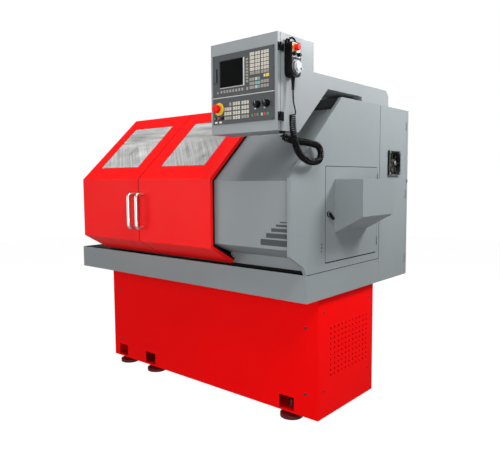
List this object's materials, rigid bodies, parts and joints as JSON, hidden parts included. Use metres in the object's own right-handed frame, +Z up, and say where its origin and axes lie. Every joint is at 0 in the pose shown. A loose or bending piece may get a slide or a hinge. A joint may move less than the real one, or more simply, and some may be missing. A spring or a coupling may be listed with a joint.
{
  "type": "cnc turning lathe",
  "caption": "Flat-bed CNC turning lathe with sliding front doors, chip tray, stand, operator panel box on an arm, handheld pendant and rear electrical cabinet.",
  "frame": {"origin": "on the floor under the middle of the machine box", "axes": "+X to the right along the spindle towards the tailstock, +Y to the back, +Z up"},
  "size_m": [2.082, 1.3755, 1.938],
  "materials": {
    "red_paint": "powder coat, semi gloss",
    "grey_paint": "powder coat, semi gloss",
    "panel_grey": "fine matt foil",
    "key_white": "printed key caps",
    "black_plastic": "moulded, matt",
    "red_plastic": "moulded, glossy",
    "silver_knob": "turned",
    "chrome": "polished",
    "window": "clear polycarbonate with film",
    "cast_iron": "painted casting with ground ways",
    "steel": "turned and ground",
    "black_steel": "black coat",
    "belt_rubber": "matt",
    "cord_rubber": "satin",
    "fan_brown": "moulded"
  },
  "bodies": {
    "machine": {"base_cabinet": "red_paint", "base_front_panel": "red_paint", "base_vent_panel": "red_paint", "levelling_feet": "red_paint", "chip_tray": "grey_paint", "bed": "cast_iron", "headstock": "cast_iron", "drive_belt": "belt_rubber", "spindle_motor": "black_steel", "belt_cover": "grey_paint", "z_servo_motor": "black_steel", "left_end_panel": "grey_paint", "back_panel": "grey_paint", "right_end_panel": "grey_paint", "front_cover": "grey_paint", "door_rails": "steel", "electrical_cabinet": "grey_paint", "fan_housing": "black_plastic", "control_housing": "grey_paint", "control_hinges": "black_plastic", "pendant_body": "black_plastic", "cord_fittings": "black_plastic", "straight_cord": "cord_rubber", "coiled_cord": "cord_rubber"},
    "left_door": {"left_door": "red_paint", "left_window": "window", "left_handle": "chrome"},
    "right_door": {"right_door": "red_paint", "right_window": "window", "right_handle": "chrome"},
    "spindle": {"spindle": "steel", "spindle_pulley": "steel", "chuck_body": "steel"},
    "jaw_1": {"chuck_jaw_1": "steel"},
    "jaw_2": {"chuck_jaw_2": "steel"},
    "jaw_3": {"chuck_jaw_3": "steel"},
    "motor_rotor": {"motor_pulley": "steel"},
    "carriage": {"carriage_saddle": "cast_iron"},
    "cross_slide": {"cross_slide": "cast_iron"},
    "turret": {"tool_turret": "steel", "turning_tools": "steel"},
    "z_screw": {"z_ballscrew": "steel"},
    "tailstock": {"tailstock_body": "cast_iron"},
    "quill": {"tailstock_quill": "steel"},
    "tailstock_wheel": {"tailstock_handwheel": "chrome"},
    "side_door": {"side_door": "grey_paint"},
    "side_latch": {"side_latch": "black_plastic"},
    "cabinet_door": {"cabinet_door": "grey_paint"},
    "fan_rotor": {"fan_rotor": "fan_brown"},
    "control_door": {"control_door": "grey_paint", "display_panel": "panel_grey", "machine_panel": "panel_grey", "panel_keys": "key_white"},
    "estop": {"estop_button": "red_plastic"},
    "feed_knob": {"feed_knob": "black_plastic"},
    "spindle_knob": {"spindle_knob": "black_plastic"},
    "pendant_estop": {"pendant_estop": "red_plastic"},
    "pendant_axis_knob": {"pendant_axis_knob": "black_plastic"},
    "pendant_step_knob": {"pendant_step_knob": "black_plastic"},
    "pendant_wheel": {"pendant_handwheel": "silver_knob"}
  },
  "joints": [
    {"name": "left_door_slide", "type": "slide", "parent": "machine", "child": "left_door", "axis": [-1, 0, 0], "range_m": [0, 0.225]},
    {"name": "right_door_slide", "type": "slide", "parent": "machine", "child": "right_door", "axis": [1, 0, 0], "range_m": [0, 0.48]},
    {"name": "spindle_spin", "type": "hinge", "parent": "machine", "child": "spindle", "pos_m": [-0.619, -0.007, 1.14], "axis": [1, 0, 0], "continuous": true},
    {"name": "motor_spin", "type": "hinge", "parent": "machine", "child": "motor_rotor", "pos_m": [-0.869, 0.225, 1.17], "axis": [1, 0, 0], "continuous": true},
    {"name": "jaw_1_slide", "type": "slide", "parent": "spindle", "child": "jaw_1", "axis": [0, 0, 1], "range_m": [0, 0.014]},
    {"name": "jaw_2_slide", "type": "slide", "parent": "spindle", "child": "jaw_2", "axis": [0, -0.866, -0.5], "range_m": [0, 0.014]},
    {"name": "jaw_3_slide", "type": "slide", "parent": "spindle", "child": "jaw_3", "axis": [0, 0.866, -0.5], "range_m": [0, 0.014]},
    {"name": "carriage_slide", "type": "slide", "parent": "machine", "child": "carriage", "axis": [1, 0, 0], "range_m": [-0.19, 0.26]},
    {"name": "cross_feed", "type": "slide", "parent": "carriage", "child": "cross_slide", "axis": [0, 1, 0], "range_m": [-0.03, 0.097]},
    {"name": "turret_index", "type": "hinge", "parent": "cross_slide", "child": "turret", "pos_m": [-0.029, -0.219, 1.1], "axis": [0, 0, 1], "continuous": true},
    {"name": "z_screw_spin", "type": "hinge", "parent": "machine", "child": "z_screw", "pos_m": [0.081, -0.187, 0.92], "axis": [1, 0, 0], "range_deg": [-11401, 15601]},
    {"name": "tailstock_slide", "type": "slide", "parent": "machine", "child": "tailstock", "axis": [1, 0, 0], "range_m": [-0.25, 0]},
    {"name": "quill_slide", "type": "slide", "parent": "tailstock", "child": "quill", "axis": [-1, 0, 0], "range_m": [0, 0.06]},
    {"name": "quill_wheel_turn", "type": "hinge", "parent": "tailstock", "child": "tailstock_wheel", "pos_m": [0.836, -0.007, 1.14], "axis": [1, 0, 0], "range_deg": [0, 4321]},
    {"name": "side_door_swing", "type": "hinge", "parent": "machine", "child": "side_door", "pos_m": [0.8842, 0.28, 1.116], "axis": [0, 0, 1], "range_deg": [0, 100]},
    {"name": "side_latch_turn", "type": "hinge", "parent": "side_door", "child": "side_latch", "pos_m": [0.881, -0.237, 1.119], "axis": [1, 0, 0], "range_deg": [0, 90]},
    {"name": "cabinet_door_swing", "type": "hinge", "parent": "machine", "child": "cabinet_door", "pos_m": [0.8842, 0.656, 1.2], "axis": [0, 0, -1], "range_deg": [0, 110]},
    {"name": "fan_spin", "type": "hinge", "parent": "machine", "child": "fan_rotor", "pos_m": [0.873, 0.484, 1.388], "axis": [1, 0, 0], "continuous": true},
    {"name": "control_door_swing", "type": "hinge", "parent": "machine", "child": "control_door", "pos_m": [0.8875, -0.6395, 1.725], "axis": [0, 0, 1], "range_deg": [0, 100]},
    {"name": "estop_press", "type": "slide", "parent": "control_door", "child": "estop", "axis": [0, 1, 0], "range_m": [0, 0.004]},
    {"name": "feed_knob_turn", "type": "hinge", "parent": "control_door", "child": "feed_knob", "pos_m": [0.826, -0.671, 1.6335], "axis": [0, -1, 0], "range_deg": [-135, 135]},
    {"name": "spindle_knob_turn", "type": "hinge", "parent": "control_door", "child": "spindle_knob", "pos_m": [0.772, -0.671, 1.6335], "axis": [0, -1, 0], "range_deg": [-110, 110]},
    {"name": "pendant_estop_press", "type": "slide", "parent": "machine", "child": "pendant_estop", "axis": [-1, 0, 0], "range_m": [0, 0.003]},
    {"name": "pendant_axis_turn", "type": "hinge", "parent": "machine", "child": "pendant_axis_knob", "pos_m": [0.931, -0.595, 1.844], "axis": [1, 0, 0], "range_deg": [-75, 75]},
    {"name": "pendant_step_turn", "type": "hinge", "parent": "machine", "child": "pendant_step_knob", "pos_m": [0.931, -0.56, 1.844], "axis": [1, 0, 0], "range_deg": [-45, 45]},
    {"name": "pendant_wheel_spin", "type": "hinge", "parent": "machine", "child": "pendant_wheel", "pos_m": [0.931, -0.575, 1.79], "axis": [1, 0, 0], "continuous": true}
  ],
  "couplings": [
    {"joint": "motor_spin", "follows": "spindle_spin", "ratio": 1.6},
    {"joint": "jaw_2_slide", "follows": "jaw_1_slide", "ratio": 1},
    {"joint": "jaw_3_slide", "follows": "jaw_1_slide", "ratio": 1},
    {"joint": "z_screw_spin", "follows": "carriage_slide", "rad_per_m": 1047.2},
    {"joint": "quill_wheel_turn", "follows": "quill_slide", "rad_per_m": 1256.6}
  ]
}
